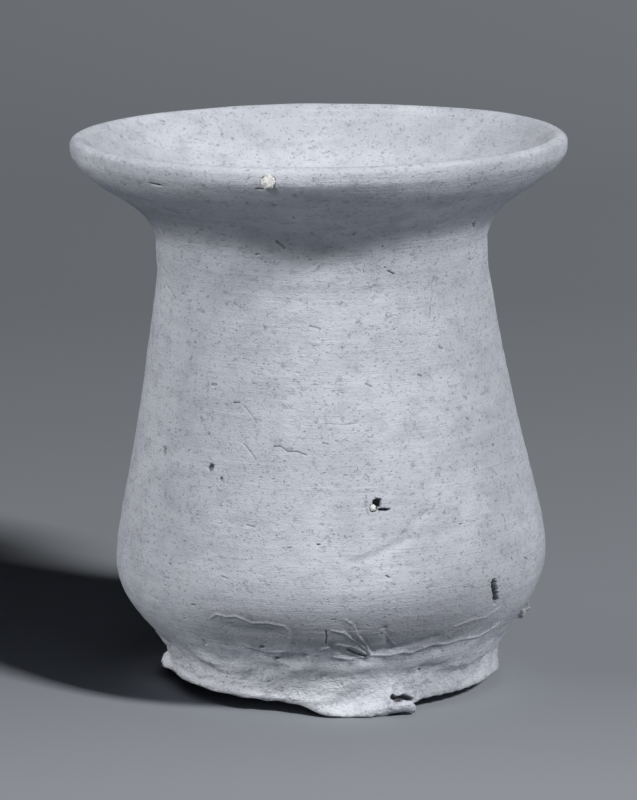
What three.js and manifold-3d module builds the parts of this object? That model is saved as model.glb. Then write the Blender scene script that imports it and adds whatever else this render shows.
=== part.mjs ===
// A small wheel-thrown earthenware jar: flared mouth, short neck, wide low belly and a torn foot.
// Millimetres, +Z up. The origin is the centre of the flat patch that the jar stands on, and its
// front, the side with the spall pit and the squeezed lump under the foot, faces -Y.
//
// The jar is one thrown and fired body. The other pieces are what the potter's clay brought along:
// a lime grain in the lip, a lime grain in a pit that it blew in the wall, and a grit in the belly.

import * as THREE from 'three';
import { mergeVertices } from 'three/addons/utils/BufferGeometryUtils.js';
import Module from 'manifold-3d';

const wasm = await Module();
wasm.setup();

// Mouth and flare
const HEIGHT = 99.5; // crest of the rim above the floor
const RIM_DIAMETER = 89; // over the outside of the lip
const LIP_FACE = 3.3; // height of the lip's upright outer face
const LIP_ROUND = 1.3; // rounding of the lip's edges
const LIP_THICKNESS = 3.4; // through the lip, from its face to its inner edge
const FLARE_DEPTH = 18.5; // from the crest down to where the neck turns outwards

// Neck, belly and foot
const NECK_DIAMETER = 59.5;
const NECK_LENGTH = 6;
const BELLY_DIAMETER = 78.3;
const BELLY_HEIGHT = 23; // widest place above the floor
const WAIST_DIAMETER = 60; // just above the foot
const WAIST_HEIGHT = 3.6;
const FOOT_DIAMETER = 60.4;
const FOOT_GAP = 1.7; // torn edge of the foot above the floor
const FOOT_EDGE = 1.2; // rounding of that edge
const REST_DIAMETER = 40; // flat patch that carries the jar

// Walls
const NECK_WALL = 4.1;
const BELLY_WALL = 4.8;
const FLOOR_THICKNESS = 8.5;
const FLOOR_CORNER = 11; // sweep of the inside from the wall into the floor
const NAVEL_HEIGHT = 1.1; // hump left by the thrower's fingers in the middle of the floor
const NAVEL_RADIUS = 9;

// Marks of the throwing inside: one spiral groove that climbs the wall
const RILL_PITCH = 9;
const RILL_DEPTH = 0.8;
const RILL_START = 3; // above the floor inside
const RILL_FADE = 9; // height over which the groove grows to its depth

// How far the soft jar leans and tips
const AXIS_LEAN = - 2.8; // sideways, at the crest
const LEAN_BEND = 1.2; // above 1, the axis leans more towards the top
const BELLY_TIP = 0.036; // slope of the belly's widest ring, its left side lower
const RIM_TIP = 0.01; // slope of the rim, its left side lower
const RIM_OVAL = 0.15; // mouth pulled wider along X and narrower along Y

// Grains
const SEAT_GAP = 0.12; // crack between a grain and the fired clay round it
const BREAK_OUT = 0.2; // how far a pit's cutter stands out of the wall, so that it breaks through

// Handles of the outline's curves, each as a share of that curve's own rise or run
const SOLE_HANDLES = { flat: 0.35, hollow: 0.55 }; // from the flat patch up to the torn edge
const WAIST_HANDLE = 0.27; // the wall rises straight out of the waist
const UNDERBELLY_HANDLE = 0.45; // and comes upright again into the belly
const SHOULDER_HANDLES = { belly: 0.15, inward: 0.52, down: 0.66 }; // from the belly up to the neck
const FLARE_HANDLES = { out: 0.08, up: 0.53, back: 0.24, down: 0.4 }; // from the neck out to the lip
const THROAT_HANDLES = { back: 0.45, down: 0.4, up: 0.33 }; // from the lip down into the neck
const BORE_HANDLES = { throat: 0.25, belly: 0.3 }; // from the neck down to the belly inside
const CORNER_HANDLES = { down: 0.42, inward: 0.27 }; // from the belly inside into the floor
const LIP_BULGE = { foot: 0.25, top: 0.6 }; // along the height of the lip's outer face
const LIP_ROLL = { top: 0.4, inner: 0.7, down: 0.6 }; // from the crest into the mouth
const QUARTER = 0.55; // handle of a quarter turn, for rounded edges

// Mesh fineness, and the height over which a seat reads the wall's slope
const AROUND = 60;
const SLOPE_SPAN = 0.6;

const CREST_Z = HEIGHT;
const RIM_R = RIM_DIAMETER / 2;
const NECK_R = NECK_DIAMETER / 2;
const BELLY_R = BELLY_DIAMETER / 2;
const WAIST_R = WAIST_DIAMETER / 2;
const FOOT_R = FOOT_DIAMETER / 2;
const REST_R = REST_DIAMETER / 2;
const NECK_TOP = HEIGHT - FLARE_DEPTH;
const NECK_BOTTOM = NECK_TOP - NECK_LENGTH;
const NECK_BORE = NECK_R - NECK_WALL;
const BELLY_BORE = BELLY_R - BELLY_WALL;

// What the soft foot suffered. Angles are in degrees from the front, positive towards +X. Each place
// hangs lower by drop and stands out by push, and fades upwards to nothing at the height top.
const FOOT_TEARS = [
	{ at: 9, spread: 18, drop: 1.8, push: 2.6, top: 9.5 }, // squeezed lump that reaches the floor in front
	{ at: - 46, spread: 26, drop: - 0.2, push: 0.9, top: 9 },
	{ at: - 88, spread: 12, drop: 0.2, push: 0.7, top: 4.5 }, // thin flange folded out on the left
	{ at: 60, spread: 30, drop: 0.1, push: 0.7, top: 6 },
	{ at: 142, spread: 26, drop: 1.2, push: 0.7, top: 7 },
	{ at: - 140, spread: 30, drop: 0.8, push: 0.4, top: 7 }
];

// Shallow places in the outside, pressed or wiped in while the clay was soft
const DENTS = [
	{ at: - 22, z: 13.5, wide: 13, high: 4.5, deep: 0.8 }, // wiped hollow above the foot, left of the front
	{ at: 16, z: 13, wide: 18, high: 2.6, deep: 0.5 }, // puckered hollow under the belly, right of the front
	{ at: 7, z: 4.4, wide: 6, high: 1.6, deep: 1.1 } // thumb mark in the squeezed lump
];

const radians = THREE.MathUtils.degToRad;
const mix = THREE.MathUtils.lerp;
const ease = THREE.MathUtils.smoothstep;

function bell( x ) {

	return Math.exp( - x * x );

}

// As a bell, with a flat top and steeper sides
function plateau( x ) {

	return Math.exp( - ( x ** 4 ) );

}

// Degrees from the front of a point, from -180 to 180
function bearing( x, y ) {

	return THREE.MathUtils.radToDeg( Math.atan2( x, - y ) );

}

function turnBetween( a, b ) {

	return THREE.MathUtils.euclideanModulo( a - b + 180, 360 ) - 180;

}

function stretch( steps, ...ends ) {

	const points = ends.map( ( [ r, z ] ) => new THREE.Vector2( r, z ) );
	const Curve = points.length === 2 ? THREE.LineCurve : THREE.CubicBezierCurve;
	return new Curve( ...points ).getPoints( steps );

}

// Middle of the rounded crest of the rim
const CREST = [ RIM_R - LIP_THICKNESS * 0.45, CREST_Z ];

// The outside, from the middle of the underside to the crest of the rim, as [radius, height]
function outside() {

	const soleEnd = [ FOOT_R - FOOT_EDGE, FOOT_GAP ];
	const edge = [ FOOT_R, FOOT_GAP + FOOT_EDGE ];
	const waist = [ WAIST_R, WAIST_HEIGHT ];
	const belly = [ BELLY_R, BELLY_HEIGHT ];
	const neckBottom = [ NECK_R, NECK_BOTTOM ];
	const neckTop = [ NECK_R, NECK_TOP ];
	const lipFoot = [ RIM_R - LIP_ROUND * 0.25, CREST_Z - LIP_FACE ];
	const faceTop = [ RIM_R, CREST_Z - LIP_ROUND ];
	const sole = soleEnd[ 0 ] - REST_R;
	const rise = BELLY_HEIGHT - WAIST_HEIGHT;
	const climb = NECK_BOTTOM - BELLY_HEIGHT;
	const shoulder = mix( NECK_R, BELLY_R, SHOULDER_HANDLES.inward );
	const run = lipFoot[ 0 ] - NECK_R;
	const lift = lipFoot[ 1 ] - NECK_TOP;
	return [
		stretch( 3, [ 0, 0 ], [ REST_R, 0 ] ),
		stretch( 4, [ REST_R, 0 ], [ REST_R + sole * SOLE_HANDLES.flat, 0 ],
			[ REST_R + sole * SOLE_HANDLES.hollow, FOOT_GAP ], soleEnd ),
		stretch( 3, soleEnd, [ soleEnd[ 0 ] + FOOT_EDGE * QUARTER, FOOT_GAP ],
			[ FOOT_R, edge[ 1 ] - FOOT_EDGE * QUARTER ], edge ),
		stretch( 1, edge, waist ),
		stretch( 9, waist, [ WAIST_R, WAIST_HEIGHT + rise * WAIST_HANDLE ],
			[ BELLY_R, BELLY_HEIGHT - rise * UNDERBELLY_HANDLE ], belly ),
		stretch( 11, belly, [ BELLY_R, BELLY_HEIGHT + climb * SHOULDER_HANDLES.belly ],
			[ shoulder, NECK_BOTTOM - climb * SHOULDER_HANDLES.down ], neckBottom ),
		stretch( 2, neckBottom, neckTop ),
		stretch( 8, neckTop, [ NECK_R + run * FLARE_HANDLES.out, NECK_TOP + lift * FLARE_HANDLES.up ],
			[ lipFoot[ 0 ] - run * FLARE_HANDLES.back, lipFoot[ 1 ] - lift * FLARE_HANDLES.down ], lipFoot ),
		stretch( 2, lipFoot, [ RIM_R, mix( lipFoot[ 1 ], faceTop[ 1 ], LIP_BULGE.foot ) ],
			[ RIM_R, mix( lipFoot[ 1 ], faceTop[ 1 ], LIP_BULGE.top ) ], faceTop ),
		stretch( 3, faceTop, [ RIM_R, CREST_Z - LIP_ROUND * ( 1 - QUARTER ) ],
			[ mix( RIM_R, CREST[ 0 ], 1 - QUARTER ), CREST_Z ], CREST )
	];

}

// The inside, from the crest of the rim to the middle of the floor. The wall is its own list,
// because only the wall carries the spiral.
function inside() {

	const lipInner = [ RIM_R - LIP_THICKNESS, CREST_Z - LIP_ROUND * 0.75 ];
	const throat = [ NECK_BORE, NECK_TOP - 1 ];
	const belly = [ BELLY_BORE, BELLY_HEIGHT + 2 ];
	const corner = [ BELLY_BORE - FLOOR_CORNER, FLOOR_THICKNESS ];
	const run = lipInner[ 0 ] - throat[ 0 ];
	const drop = lipInner[ 1 ] - throat[ 1 ];
	const fall = throat[ 1 ] - belly[ 1 ];
	const sweep = belly[ 1 ] - corner[ 1 ];
	return {
		flare: [
			stretch( 3, CREST, [ mix( CREST[ 0 ], lipInner[ 0 ], LIP_ROLL.top ), CREST_Z ],
				[ mix( CREST[ 0 ], lipInner[ 0 ], LIP_ROLL.inner ), mix( CREST_Z, lipInner[ 1 ], LIP_ROLL.down ) ],
				lipInner ),
			stretch( 8, lipInner,
				[ lipInner[ 0 ] - run * THROAT_HANDLES.back, lipInner[ 1 ] - drop * THROAT_HANDLES.down ],
				[ throat[ 0 ], throat[ 1 ] + drop * THROAT_HANDLES.up ], throat )
		],
		wall: [
			stretch( 26, throat, [ NECK_BORE, throat[ 1 ] - fall * BORE_HANDLES.throat ],
				[ BELLY_BORE, belly[ 1 ] + fall * BORE_HANDLES.belly ], belly ),
			stretch( 7, belly, [ BELLY_BORE, belly[ 1 ] - sweep * CORNER_HANDLES.down ],
				[ BELLY_BORE - FLOOR_CORNER * CORNER_HANDLES.inward, FLOOR_THICKNESS ], corner )
		],
		floor: [ stretch( 4, corner, [ 0, FLOOR_THICKNESS ] ) ]
	};

}

// Joins stretches that share their end points into one list, marked with what they belong to
function chain( stretches, surface, list = [] ) {

	for ( const points of stretches ) {

		const fresh = list.length ? points.slice( 1 ) : points;
		for ( const point of fresh ) list.push( { point, surface } );

	}

	return list;

}

const outsideOutline = outside().flat();

// Radius of the round, unleaning outside at a height between the waist and the lip
function outsideRadius( z ) {

	for ( let i = 1; i < outsideOutline.length; i ++ ) {

		const a = outsideOutline[ i - 1 ];
		const b = outsideOutline[ i ];
		const spans = z >= WAIST_HEIGHT && a.y <= z && z <= b.y && b.y > a.y;
		if ( spans ) return mix( a.x, b.x, ( z - a.y ) / ( b.y - a.y ) );

	}

	return WAIST_R;

}

// The spiral groove of the throwing, as how far it goes into the wall
function rill( angle, z ) {

	const wave = 0.5 + 0.5 * Math.cos( 2 * Math.PI * z / RILL_PITCH - angle );
	const start = FLOOR_THICKNESS + RILL_START;
	const fadeIn = ease( z, start, start + RILL_FADE );
	const fadeOut = 1 - ease( z, NECK_BOTTOM, NECK_TOP - 2 );
	return RILL_DEPTH * wave * fadeIn * fadeOut;

}

// Moves a point of the round outline to where the soft jar really went
function settle( point, surface ) {

	let radius = Math.hypot( point.x, point.y );
	let z = point.z;
	const angle = Math.atan2( point.y, point.x );
	const at = bearing( point.x, point.y );

	if ( surface === 'wall' ) radius += rill( angle, z );

	if ( surface === 'floor' ) z += NAVEL_HEIGHT * bell( radius / NAVEL_RADIUS );

	if ( surface === 'outside' && z < BELLY_HEIGHT ) {

		const skirt = ease( radius, REST_R, FOOT_R - FOOT_EDGE );
		const turned = z;
		for ( const tear of FOOT_TEARS ) {

			const up = 1 - ease( turned, FOOT_GAP, tear.top );
			const here = skirt * up * plateau( turnBetween( at, tear.at ) / tear.spread );
			z -= tear.drop * here;
			radius += tear.push * here;

		}

		for ( const dent of DENTS ) {

			const here = bell( turnBetween( at, dent.at ) / dent.wide ) * bell( ( turned - dent.z ) / dent.high );
			radius -= dent.deep * here * skirt;

		}

		z = Math.max( z, 0 );

	}

	const up = z / HEIGHT;
	const oval = RIM_OVAL * up * Math.cos( 2 * angle );
	const tip = mix( BELLY_TIP * ease( z, 0, BELLY_HEIGHT ), RIM_TIP, ease( z, BELLY_HEIGHT, NECK_BOTTOM ) );
	const x = ( radius + oval ) * Math.cos( angle );
	const y = ( radius + oval ) * Math.sin( angle );
	point.set( x + AXIS_LEAN * up ** LEAN_BEND, y, z + tip * x );
	return point;

}

// A closed triangle mesh with shared corners and no flat slivers, as a solid
function solidOf( geometry ) {

	const bare = geometry.clone();
	bare.deleteAttribute( 'normal' );
	bare.deleteAttribute( 'uv' );
	const merged = mergeVertices( bare, 1e-4 );
	const corners = merged.index.array;
	const kept = [];
	for ( let i = 0; i < corners.length; i += 3 ) {

		const [ a, b, c ] = corners.subarray( i, i + 3 );
		if ( a !== b && b !== c && c !== a ) kept.push( a, b, c );

	}

	const vertProperties = new Float32Array( merged.attributes.position.array );
	const triVerts = new Uint32Array( kept );
	return new wasm.Manifold( new wasm.Mesh( { numProp: 3, vertProperties, triVerts } ) );

}

function geometryOf( solid ) {

	const mesh = solid.getMesh();
	const geometry = new THREE.BufferGeometry();
	geometry.setAttribute( 'position', new THREE.Float32BufferAttribute( mesh.vertProperties, 3 ) );
	geometry.setIndex( new THREE.Uint32BufferAttribute( mesh.triVerts, 1 ) );
	geometry.computeVertexNormals();
	return geometry;

}

// The thrown body: one outline spun round, then leaned, dented and torn
function thrownBody() {

	const { flare, wall, floor } = inside();
	const outline = chain( outside(), 'outside' );
	chain( flare, 'flare', outline );
	chain( wall, 'wall', outline );
	chain( floor, 'floor', outline );
	const spun = new THREE.LatheGeometry( outline.map( ( { point } ) => point ), AROUND );
	spun.rotateX( Math.PI / 2 );
	const place = spun.attributes.position;
	const point = new THREE.Vector3();
	for ( let i = 0; i < place.count; i ++ ) {

		point.fromBufferAttribute( place, i );
		settle( point, outline[ i % outline.length ].surface );
		place.setXYZ( i, point.x, point.y, point.z );

	}

	return solidOf( spun );

}

// How often the surface of a lump waves in and out along each axis, and where the wave starts
const LUMP_WAVE = { x: 9, y: 8, z: - 7, start: 4 };

// A rough lump: a ball of facets, pushed in and out by a fixed wave, then stretched to its size
function lump( width, depth, height, roughness = 0.08 ) {

	const geometry = new THREE.IcosahedronGeometry( 0.5, 1 );
	const place = geometry.attributes.position;
	const point = new THREE.Vector3();
	for ( let i = 0; i < place.count; i ++ ) {

		point.fromBufferAttribute( place, i );
		const across = Math.sin( LUMP_WAVE.x * point.x + LUMP_WAVE.start );
		const along = Math.cos( LUMP_WAVE.y * point.y + LUMP_WAVE.z * point.z );
		point.multiplyScalar( 1 + roughness * across * along );
		place.setXYZ( i, point.x * width, point.y * depth, point.z * height );

	}

	return geometry;

}

// Stands a geometry on the outside at a bearing and height, square to the wall's slope there.
// out is how far its middle lies outside the surface, and roll turns it in the surface.
function onWall( geometry, at, z, out, roll = 0 ) {

	const turn = radians( at );
	const widening = outsideRadius( z + SLOPE_SPAN ) - outsideRadius( z - SLOPE_SPAN );
	const slope = Math.atan2( widening, 2 * SLOPE_SPAN );
	const radius = outsideRadius( z ) + out * Math.cos( slope );
	const seatZ = z - out * Math.sin( slope );
	const seat = new THREE.Vector3( radius * Math.sin( turn ), - radius * Math.cos( turn ), seatZ );
	settle( seat, 'seat' );
	geometry.rotateY( radians( roll ) ).rotateX( slope ).rotateZ( turn );
	return geometry.translate( seat.x, seat.y, seat.z );

}

function addMesh( group, name, solid, color, roughness ) {

	const material = new THREE.MeshStandardMaterial( { color, roughness, metalness: 0 } );
	const mesh = new THREE.Mesh( geometryOf( solid ), material );
	mesh.name = name;
	group.add( mesh );

}

// Lime grain that shows white across the face of the lip: two lobes side by side
const LIP_GRAIN = { at: - 11.6, z: HEIGHT - 2, out: - 0.35, wide: 1.9, deep: 2, high: 2.5 };
const LEFT_LOBE = { turn: 0, lift: 0.4, wide: 1, high: 0.75 };
const RIGHT_LOBE = { turn: 1.3, lift: - 0.3, wide: 0.7, high: 1 };

function lobe( { turn, lift, wide, high }, gap ) {

	const room = 2 * gap;
	const ball = lump( LIP_GRAIN.wide * wide + room, LIP_GRAIN.deep + room, LIP_GRAIN.high * high + room );
	return solidOf( onWall( ball, LIP_GRAIN.at + turn, LIP_GRAIN.z + lift, LIP_GRAIN.out ) );

}

function lipGrain( gap ) {

	return lobe( LEFT_LOBE, gap ).add( lobe( RIGHT_LOBE, gap ) );

}

// Pit blown in the wall by a lime grain, which still sits in its lower left corner
const GRAIN_ROUGHNESS = 0.12;
const SPALL = { at: 13.4, z: 39.7, wide: 1.9, high: 2, deep: 2.6 };
const SPALL_SLOT = { at: 15.5, z: 38.5, wide: 2.6, high: 0.55, deep: 1.4, roll: - 6 };
const SPALL_GRAIN = { at: 12.2, z: 38.7, out: - 0.4, wide: 0.9, deep: 1, high: 1.1, roll: 14 };

function spallPit() {

	const bowl = onWall( lump( SPALL.wide, SPALL.deep * 2, SPALL.high ), SPALL.at, SPALL.z, BREAK_OUT );
	const { at, z, wide, high, deep, roll } = SPALL_SLOT;
	const slot = onWall( lump( wide, deep * 2, high ), at, z, BREAK_OUT, roll );
	return solidOf( bowl ).add( solidOf( slot ) );

}

function spallGrain( gap ) {

	const { at, z, out, wide, deep, high, roll } = SPALL_GRAIN;
	const grain = lump( wide + 2 * gap, deep + 2 * gap, high + 2 * gap, GRAIN_ROUGHNESS );
	return solidOf( onWall( grain, at, z, out, roll ) );

}

// Upright slot where a straw burnt out of the right flank
const STRAW_SLOT = { at: 48.3, z: 20.3, wide: 0.8, high: 4.2, deep: 1.3, roll: - 12, roughness: 0.02 };

function strawSlot() {

	const { at, z, wide, high, deep, roll, roughness } = STRAW_SLOT;
	const straw = lump( wide, deep * 2, high, roughness );
	return solidOf( onWall( straw, at, z, BREAK_OUT, roll ) );

}

// Grit that stands out of the right flank
const FLANK_GRIT = { at: 84, z: 11.6, out: 0.15, wide: 1.5, deep: 1.8, high: 3.3 };

function flankGrit( gap ) {

	const { at, z, out, wide, deep, high } = FLANK_GRIT;
	const grit = lump( wide + 2 * gap, deep + 2 * gap, high + 2 * gap, GRAIN_ROUGHNESS );
	return solidOf( onWall( grit, at, z, out ) );

}

// Tongue of clay squeezed sideways out of the lump in front of the foot
const TONGUE = { at: 22, z: 1.2, out: 1.6, wide: 6, deep: 3, high: 1.4, roughness: 0.06 };

function tongue() {

	const { at, z, out, wide, deep, high, roughness } = TONGUE;
	const turn = radians( at );
	const reach = FOOT_R + out;
	const blob = lump( wide, deep, high, roughness ).rotateZ( turn );
	return solidOf( blob.translate( reach * Math.sin( turn ), - reach * Math.cos( turn ), z ) );

}

const jar = new THREE.Group();

const body = thrownBody()
	.add( tongue() )
	.subtract( lipGrain( SEAT_GAP ) )
	.subtract( spallPit() )
	.subtract( spallGrain( SEAT_GAP ) )
	.subtract( strawSlot() )
	.subtract( flankGrit( SEAT_GAP ) );

addMesh( jar, 'pot_body', body, 0xb3b6bf, 0.92 );
addMesh( jar, 'lip_lime_grain', lipGrain( 0 ), 0xe6e6e2, 0.85 );
addMesh( jar, 'spall_lime_grain', spallGrain( 0 ), 0xdcdcd8, 0.9 );
addMesh( jar, 'flank_grit', flankGrit( 0 ), 0x8d8f92, 0.8 );

export default jar;
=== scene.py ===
"""A small thrown earthenware jar, unglazed and straw-tempered, with a torn and squeezed foot."""

import math

import bpy
import numpy as np
from mathutils import Euler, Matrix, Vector, noise


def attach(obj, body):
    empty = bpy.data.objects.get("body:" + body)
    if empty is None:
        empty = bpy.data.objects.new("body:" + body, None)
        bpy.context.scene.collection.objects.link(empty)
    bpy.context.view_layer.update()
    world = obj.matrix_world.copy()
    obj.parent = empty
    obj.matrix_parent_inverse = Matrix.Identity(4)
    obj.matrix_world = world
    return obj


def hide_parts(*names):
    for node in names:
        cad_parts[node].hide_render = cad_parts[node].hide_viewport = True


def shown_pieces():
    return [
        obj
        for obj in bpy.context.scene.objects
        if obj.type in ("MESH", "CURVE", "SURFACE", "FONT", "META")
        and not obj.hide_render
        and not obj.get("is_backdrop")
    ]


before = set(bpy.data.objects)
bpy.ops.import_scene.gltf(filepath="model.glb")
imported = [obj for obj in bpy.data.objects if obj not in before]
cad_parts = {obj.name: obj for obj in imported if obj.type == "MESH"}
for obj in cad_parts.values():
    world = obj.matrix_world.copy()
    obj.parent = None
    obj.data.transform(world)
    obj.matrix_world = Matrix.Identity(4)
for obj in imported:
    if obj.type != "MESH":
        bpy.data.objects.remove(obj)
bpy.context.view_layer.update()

MM = 0.001  # the sizes below are in millimetres, and the scene is in metres

# Mouth and flare
HEIGHT = 99.5
RIM_R = 44.5
LIP_FACE = 3.3
LIP_ROUND = 1.3
LIP_THICKNESS = 3.4
FLARE_DEPTH = 18.5

# Neck, belly and foot
NECK_R = 29.75
NECK_LENGTH = 6.0
BELLY_R = 39.15
BELLY_HEIGHT = 23.0
WAIST_R = 30.0
WAIST_HEIGHT = 3.6
FOOT_R = 30.2
FOOT_GAP = 1.7
FOOT_EDGE = 1.2
REST_R = 20.0

# Walls, floor and the spiral groove inside
NECK_WALL = 4.1
BELLY_WALL = 4.8
FLOOR_THICKNESS = 8.5
FLOOR_CORNER = 11.0
NAVEL_HEIGHT = 1.1
NAVEL_RADIUS = 9.0
RILL_PITCH = 9.0
RILL_DEPTH = 0.8
RILL_START = 3.0
RILL_FADE = 9.0
RILL_END = 2.0

# How far the soft jar leans and tips
AXIS_LEAN = -2.8
LEAN_BEND = 1.2
BELLY_TIP = 0.036
RIM_TIP = 0.01
RIM_OVAL = 0.15

NECK_TOP = HEIGHT - FLARE_DEPTH
NECK_BOTTOM = NECK_TOP - NECK_LENGTH
NECK_BORE = NECK_R - NECK_WALL
BELLY_BORE = BELLY_R - BELLY_WALL

# Handles of the outline's curves, as shares of the stretch that each curve spans
QUARTER = 0.55  # of a quarter turn, for rounded edges
SOLE_HANDLES = (0.35, 0.55)
UNDERBELLY_HANDLES = (0.27, 0.45)
SHOULDER_HANDLES = (0.15, 0.66)
SHOULDER_REACH = 0.52
FLARE_FOOT = (0.08, 0.53)
FLARE_TIP = (0.24, 0.4)
LIP_UNDERCUT = 0.25
LIP_BULGE = (0.25, 0.6)
CREST_INSET = 0.45
LIP_INNER_DROP = 0.75
LIP_ROLL = (0.4, 0.7, 0.6)
THROAT_DROP = 1
THROAT_HANDLES = (0.45, 0.4, 0.33)
BORE_RISE = 2
BORE_HANDLES = (0.25, 0.3)
CORNER_HANDLES = (0.42, 0.27)

# Steps along each stretch of the outline, from the middle of the underside round to the floor inside
STEPS = {
    "rest": 8, "sole": 9, "edge": 4, "waist": 2, "underbelly": 36, "shoulder": 68, "neck": 8,
    "flare": 30, "face": 5, "crest": 6, "lip_roll": 6, "throat": 22, "bore": 34, "corner": 12,
    "floor": 10,
}

# The spun mesh, and how it tells its outside from the rest
AROUND = 206  # steps of the spin
REFINE_MARGINS = (0.95, 0.42, 0.2)  # how far round a mark each halving of the faces reaches
STATION_BATCH = 8192  # vertices that are matched with the outline at once
MERGE_WITHIN = 1e-6  # in metres
OUTSIDE, FLARE, WALL, FLOOR = range(4)  # sides that the stretches of the outline belong to
SKIN = 2.0  # how far under the round outline a point may lie and still be on the outside
UNDER_FLOOR = 1.0  # whatever is this far below the floor inside is on the outside too
LEAST_R = 25.0  # no part of the outside is nearer to the axis

# Places where the soft foot was torn and squeezed. Bearings are in degrees from the front,
# positive to the right. Each place hangs lower by drop and stands out by push, up to the height top.
FOOT_TEARS = [
    {"at": 9, "spread": 18, "drop": 1.8, "push": 2.6, "top": 9.5},
    {"at": -46, "spread": 26, "drop": -0.2, "push": 0.9, "top": 9},
    {"at": -88, "spread": 12, "drop": 0.2, "push": 0.7, "top": 4.5},
    {"at": 60, "spread": 30, "drop": 0.1, "push": 0.7, "top": 6},
    {"at": 142, "spread": 26, "drop": 1.2, "push": 0.7, "top": 7},
    {"at": -140, "spread": 30, "drop": 0.8, "push": 0.4, "top": 7},
]
TEAR_FLATNESS = 4  # the higher, the more evenly a place is pulled and the steeper its two ends

# Dents in the soft wall: bearing, height, reach in degrees to each side, reach up and down, and depth
DENTS = [
    {"at": -22, "z": 13.5, "wide": 13, "high": 4.5, "deep": 0.8},
    {"at": 16, "z": 13, "wide": 18, "high": 2.6, "deep": 0.5},
    {"at": 7, "z": 4.4, "wide": 6, "high": 1.6, "deep": 1.1},
]

# Seats of the grains: bearing, height, and how wide, high and deep the hollow round each one is
SEATS = {
    "lip": {"at": -14.5, "z": 97.1, "wide": 2.5, "high": 2.5, "deep": 1.2},
    "spall": {"at": 10.8, "z": 38.8, "wide": 1.3, "high": 1.5, "deep": 1.0},
    "grit": {"at": 84.0, "z": 12.6, "wide": 2.0, "high": 3.8, "deep": 1.0},
}

# Pits and voids that the photograph shows, as bearing, height, width, height of the mouth, depth
# and roll in degrees
PIT_DEPTH = 4  # place of the depth among them
PITS = [
    (12.0, 39.7, 1.9, 1.9, 1.9, 0),
    (13.9, 38.5, 2.7, 0.65, 1.2, -4),
    (-57.4, 45.4, 1.4, 1.9, 0.8, 20),
    (-37.4, 44.4, 1.5, 1.7, 0.8, -30),
    (-33.4, 42.8, 0.7, 0.9, 0.5, 0),
    (-19.5, 99.0, 0.7, 0.6, 0.4, 0),
    (-10.9, 90.0, 0.5, 0.5, 0.4, 0),
    (59.2, 79.0, 0.6, 0.6, 0.4, 0),
    (17.7, 79.8, 0.5, 0.4, 0.35, 0),
    (20.5, 69.0, 0.45, 0.45, 0.35, 0),
    (-69.3, 55.6, 0.7, 0.6, 0.45, 0),
    (-4.2, 32.8, 0.9, 0.4, 0.4, 0),
    (-21.2, 13.1, 1.2, 0.9, 0.5, 10),
    (-17.6, 10.7, 0.9, 0.8, 0.6, 0),
    (28.6, 7.6, 0.8, 0.7, 0.6, 0),
    (-63.2, 25.1, 0.9, 0.6, 0.4, 0),
    (-47.7, 26.6, 0.7, 0.5, 0.4, 0),
    (-39.1, 20.2, 1.2, 0.7, 0.4, 0),
    (16.3, 83.6, 0.4, 0.4, 0.3, 0),
    (172.2, 62.0, 0.9, 0.6, 0.5, 0),
    (-150.0, 38.0, 1.3, 1.0, 0.7, 20),
    (128.0, 52.0, 1.0, 1.4, 0.7, -15),
]

# Cracks and dashes of burnt straw, each along a path of (bearing, height), with the width and the
# depth of the groove
GROOVES = [
    ([(46.6, 23.4), (47.4, 21.8), (48.8, 19.6)], 1.3, 1.2),
    ([(-43.7, 95.4), (-41.0, 95.2)], 0.45, 0.5),
    ([(-47.9, 90.3), (-45.2, 89.1)], 0.35, 0.35),
    ([(-17.2, 95.8), (-15.8, 95.8)], 0.4, 0.4),
    ([(54.6, 86.0), (55.8, 85.7), (56.6, 85.1)], 0.5, 0.6),
    ([(38.0, 77.4), (36.9, 76.0), (36.6, 73.8), (35.4, 72.4), (35.1, 70.6)], 0.17, 0.22),
    ([(37.4, 65.0), (38.8, 64.7)], 0.32, 0.35),
    ([(-2.5, 53.3), (2.0, 53.0), (6.5, 53.2)], 0.14, 0.15),
    ([(23.9, 53.3), (25.4, 51.9), (27.7, 49.9)], 0.18, 0.18),
    ([(-70.4, 73.8), (-66.0, 73.2), (-62.0, 72.0)], 0.3, 0.28),
    ([(-28.5, 55.8), (-26.0, 54.6), (-23.5, 52.8)], 0.2, 0.12),
    ([(-27.1, 49.2), (-23.3, 47.0)], 0.2, 0.18),
    ([(-17.8, 49.1), (-15.7, 49.2), (-13.7, 48.4), (-10.6, 48.4), (-8.2, 47.9)], 0.24, 0.26),
    ([(-3.5, 50.0), (-1.9, 49.8)], 0.22, 0.25),
    ([(9.0, 40.9), (8.6, 39.4), (9.4, 37.6)], 0.26, 0.25),
    ([(3.8, 13.3), (6.4, 12.3), (9.3, 11.6)], 0.5, 0.7),
    ([(-2.2, 17.4), (-2.0, 16.2), (-2.3, 14.9)], 0.3, 0.3),
    ([(18.6, 3.4), (20.4, 2.7), (23.0, 3.0), (26.0, 2.3)], 1.0, 1.5),
    ([(120.0, 60.0), (126.0, 58.4), (131.0, 58.8)], 0.25, 0.25),
    ([(-120.0, 30.0), (-114.0, 29.0)], 0.4, 0.4),
]

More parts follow.
